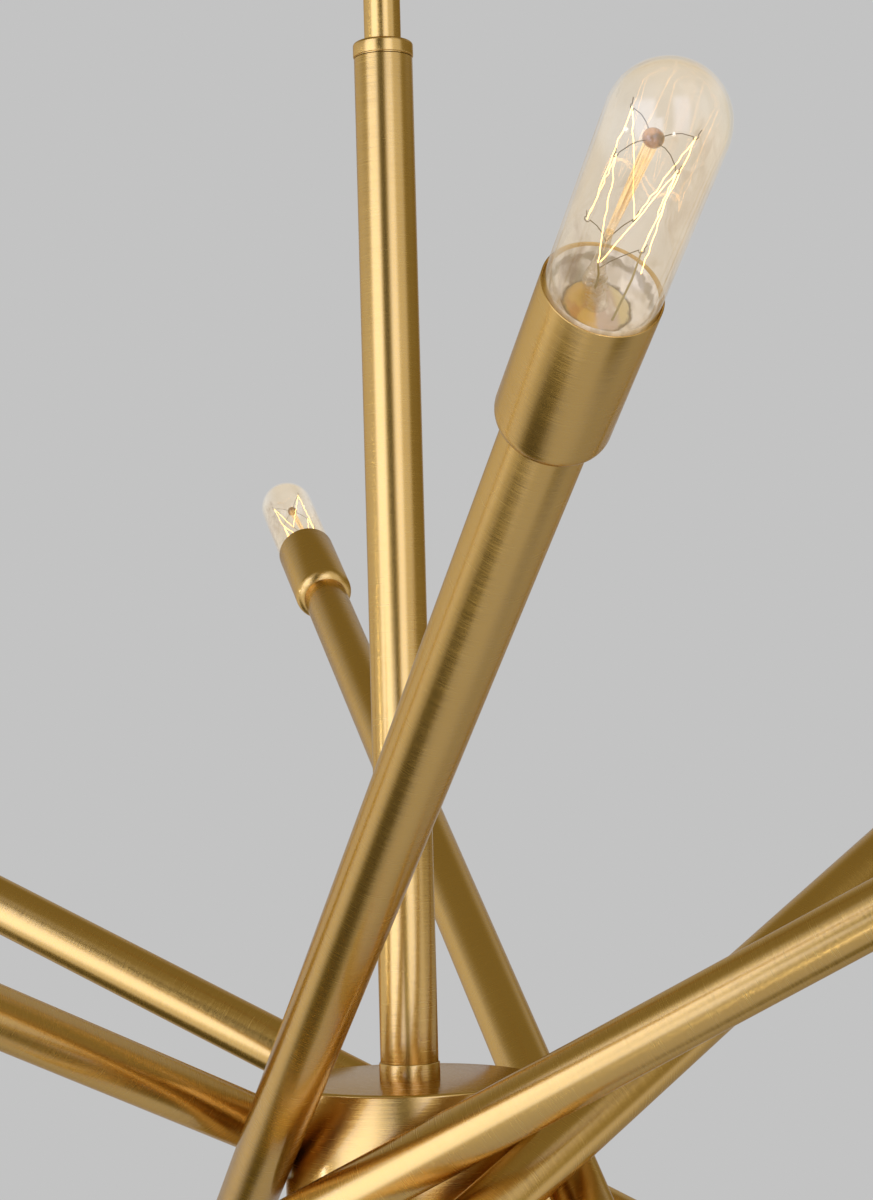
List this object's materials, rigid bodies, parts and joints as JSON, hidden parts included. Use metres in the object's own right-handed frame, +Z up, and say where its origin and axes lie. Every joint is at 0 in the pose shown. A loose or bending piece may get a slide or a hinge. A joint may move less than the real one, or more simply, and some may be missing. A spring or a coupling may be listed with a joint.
{
  "type": "chandelier",
  "caption": "Satin brass chandelier: crossed tubular arms pass a drum hub on a straight stem, each with a tubular filament bulb in a plain cup, under a round swivel canopy.",
  "frame": {"origin": "on the stem's axis in the plane of the ceiling, at the centre of the strap's two box holes", "axes": "+Z up along the stem, +X along the strap, the picture looks along +Y"},
  "size_m": [1.0331, 1.038, 0.9522],
  "materials": {
    "satin_brass": "fine brushed satin",
    "plain_brass": "plain",
    "zinc_plate": "zinc plated",
    "green_screw": "green earth screw",
    "black_phenolic": "moulded",
    "white_nylon": "moulded",
    "cord_sleeve": "soft sleeve",
    "clear_glass": "clear, faintly warm",
    "base_metal": "rolled thread",
    "lit_filament": "glass rod with a glowing wire cage"
  },
  "bodies": {
    "ceiling_plate": {"mounting_strap": "zinc_plate", "canopy_studs": "zinc_plate", "ground_screw": "green_screw", "canopy": "satin_brass", "canopy_knobs": "satin_brass", "swivel_nipple": "zinc_plate", "nipple_locknut": "zinc_plate"},
    "swivel": {"swivel_yoke": "satin_brass", "swivel_pin": "satin_brass"},
    "fixture": {"swivel_tongue": "satin_brass", "upper_stem": "satin_brass", "stem_top_ring": "satin_brass", "lower_stem": "satin_brass", "stem_foot_collar": "satin_brass", "hub_drum": "satin_brass", "hub_bottom_cover": "satin_brass", "hub_finial": "satin_brass", "arm_tail_caps": "satin_brass", "arm_1": "satin_brass", "arm_2": "satin_brass", "arm_3": "satin_brass", "arm_4": "satin_brass", "arm_5": "satin_brass", "arm_6": "satin_brass", "socket_cup_1": "satin_brass", "socket_cup_2": "satin_brass", "socket_cup_3": "satin_brass", "socket_cup_4": "satin_brass", "socket_cup_5": "satin_brass", "socket_cup_6": "satin_brass", "hub_rod": "zinc_plate", "hub_locknut": "zinc_plate", "arm_bolts": "zinc_plate", "arm_bolt_nuts": "zinc_plate", "arm_end_plugs": "zinc_plate", "cup_nipples": "zinc_plate", "lampholders": "black_phenolic", "socket_shells": "plain_brass", "socket_contacts": "plain_brass", "lamp_cords": "cord_sleeve", "terminal_ring": "white_nylon"},
    "bulb_1": {"bulb_glass_1": "clear_glass", "bulb_base_1": "base_metal", "bulb_works_1": "lit_filament"},
    "bulb_2": {"bulb_glass_2": "clear_glass", "bulb_base_2": "base_metal", "bulb_works_2": "lit_filament"},
    "bulb_3": {"bulb_glass_3": "clear_glass", "bulb_base_3": "base_metal", "bulb_works_3": "lit_filament"},
    "bulb_4": {"bulb_glass_4": "clear_glass", "bulb_base_4": "base_metal", "bulb_works_4": "lit_filament"},
    "bulb_5": {"bulb_glass_5": "clear_glass", "bulb_base_5": "base_metal", "bulb_works_5": "lit_filament"},
    "bulb_6": {"bulb_glass_6": "clear_glass", "bulb_base_6": "base_metal", "bulb_works_6": "lit_filament"}
  },
  "joints": [
    {"name": "swivel_turn", "type": "hinge", "parent": "ceiling_plate", "child": "swivel", "pos_m": [0, 0, -0.0253], "axis": [0, 0, 1], "range_deg": [-175, 175]},
    {"name": "stem_tilt", "type": "hinge", "parent": "swivel", "child": "fixture", "pos_m": [0, 0, -0.0426], "axis": [1, 0, 0], "range_deg": [-30, 30]},
    {"name": "bulb_1_turn", "type": "hinge", "parent": "fixture", "child": "bulb_1", "pos_m": [0.04289, -0.41291, -0.59137], "axis": [0.2225, -0.8076, 0.5461], "range_deg": [0, 1260]},
    {"name": "bulb_2_turn", "type": "hinge", "parent": "fixture", "child": "bulb_2", "pos_m": [0.40043, -0.17488, -0.62882], "axis": [0.8544, -0.2226, 0.4695], "range_deg": [0, 1260]},
    {"name": "bulb_3_turn", "type": "hinge", "parent": "fixture", "child": "bulb_3", "pos_m": [0.36069, 0.26849, -0.65482], "axis": [0.6384, 0.6474, 0.4163], "range_deg": [0, 1260]},
    {"name": "bulb_4_turn", "type": "hinge", "parent": "fixture", "child": "bulb_4", "pos_m": [-0.04252, 0.41156, -0.58922], "axis": [-0.2217, 0.8049, 0.5505], "range_deg": [0, 1260]},
    {"name": "bulb_5_turn", "type": "hinge", "parent": "fixture", "child": "bulb_5", "pos_m": [-0.40684, 0.17655, -0.64173], "axis": [-0.8675, 0.226, 0.4431], "range_deg": [0, 1260]},
    {"name": "bulb_6_turn", "type": "hinge", "parent": "fixture", "child": "bulb_6", "pos_m": [-0.3629, -0.27073, -0.66183], "axis": [-0.6429, -0.652, 0.4019], "range_deg": [0, 1260]}
  ]
}
